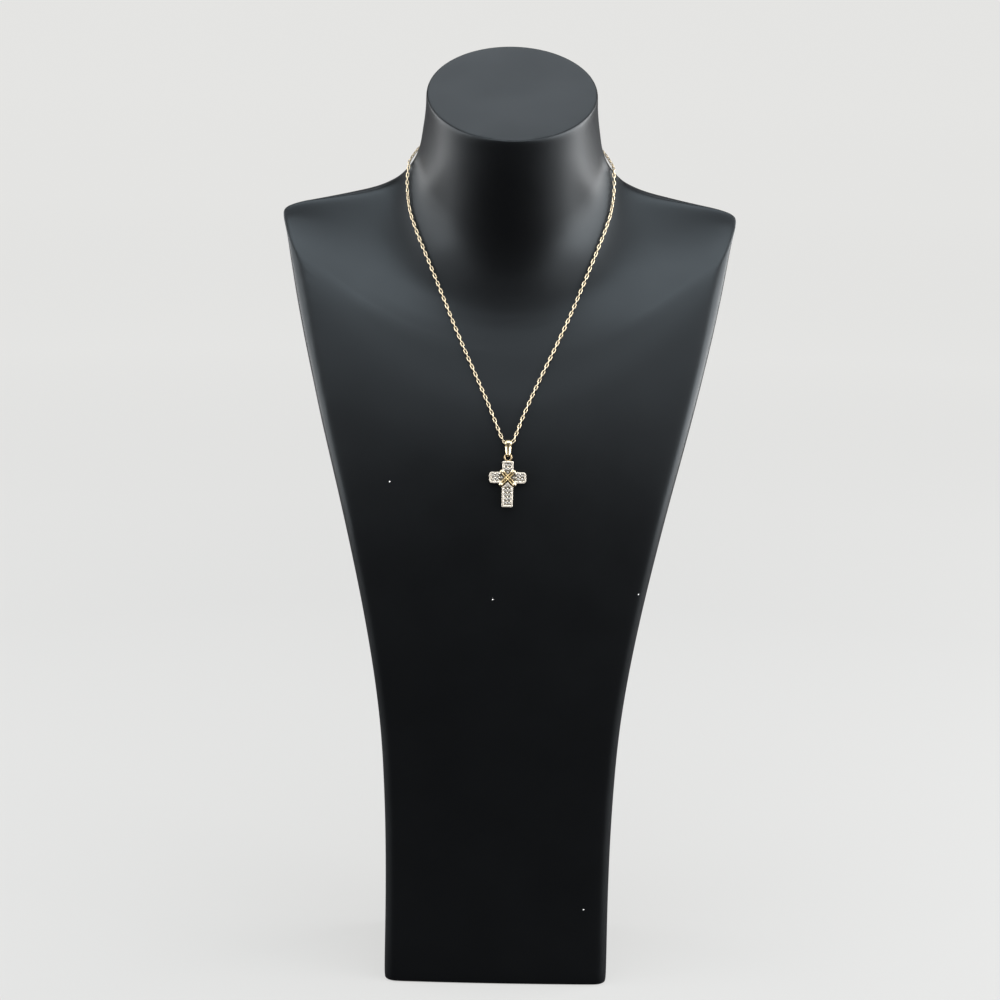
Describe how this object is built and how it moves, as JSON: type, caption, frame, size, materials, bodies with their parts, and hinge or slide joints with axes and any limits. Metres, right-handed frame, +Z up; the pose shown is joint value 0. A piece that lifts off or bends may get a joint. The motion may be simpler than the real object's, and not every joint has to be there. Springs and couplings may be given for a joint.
{
  "type": "cross pendant necklace on neck bust display",
  "caption": "Two-tone cross pendant with stones on a rope chain, laid round a plain black neck bust that stands on its flat base.",
  "frame": {"origin": "middle of the bust's base, on the surface that it stands on", "axes": "+X to the viewer's right, -Y is the way the chest faces, +Z up"},
  "size_m": [0.2026, 0.0937, 0.422],
  "materials": {
    "bust_resin": "satin black",
    "yellow_gold": "polished pale yellow gold",
    "two_tone_gold": "polished yellow gold with white rhodium on the borders",
    "clear_stone": "faceted, clear"
  },
  "bodies": {
    "bust_and_chain": {"bust": "bust_resin", "chain": "yellow_gold", "clasp": "yellow_gold"},
    "bail": {"bail": "yellow_gold"},
    "pendant": {"cross": "two_tone_gold", "stone_1": "clear_stone", "stone_2": "clear_stone", "stone_3": "clear_stone", "stone_4": "clear_stone", "stone_5": "clear_stone", "stone_6": "clear_stone", "stone_7": "clear_stone", "stone_8": "clear_stone", "stone_9": "clear_stone", "stone_10": "clear_stone", "stone_11": "clear_stone", "stone_12": "clear_stone", "stone_13": "clear_stone", "stone_14": "clear_stone", "stone_15": "clear_stone", "stone_16": "clear_stone", "stone_17": "clear_stone", "stone_18": "clear_stone", "stone_19": "clear_stone", "stone_20": "clear_stone", "stone_21": "clear_stone", "stone_22": "clear_stone", "stone_23": "clear_stone", "stone_24": "clear_stone"}
  },
  "joints": [
    {"name": "bail_swing", "type": "hinge", "parent": "bust_and_chain", "child": "bail", "pos_m": [0.0012, -0.04767, 0.25424], "axis": [-1, 0, 0], "range_deg": [0, 90]},
    {"name": "cross_swing", "type": "hinge", "parent": "bail", "child": "pendant", "pos_m": [0.0012, -0.04838, 0.2496], "axis": [-1, 0, 0], "range_deg": [0, 40]}
  ]
}
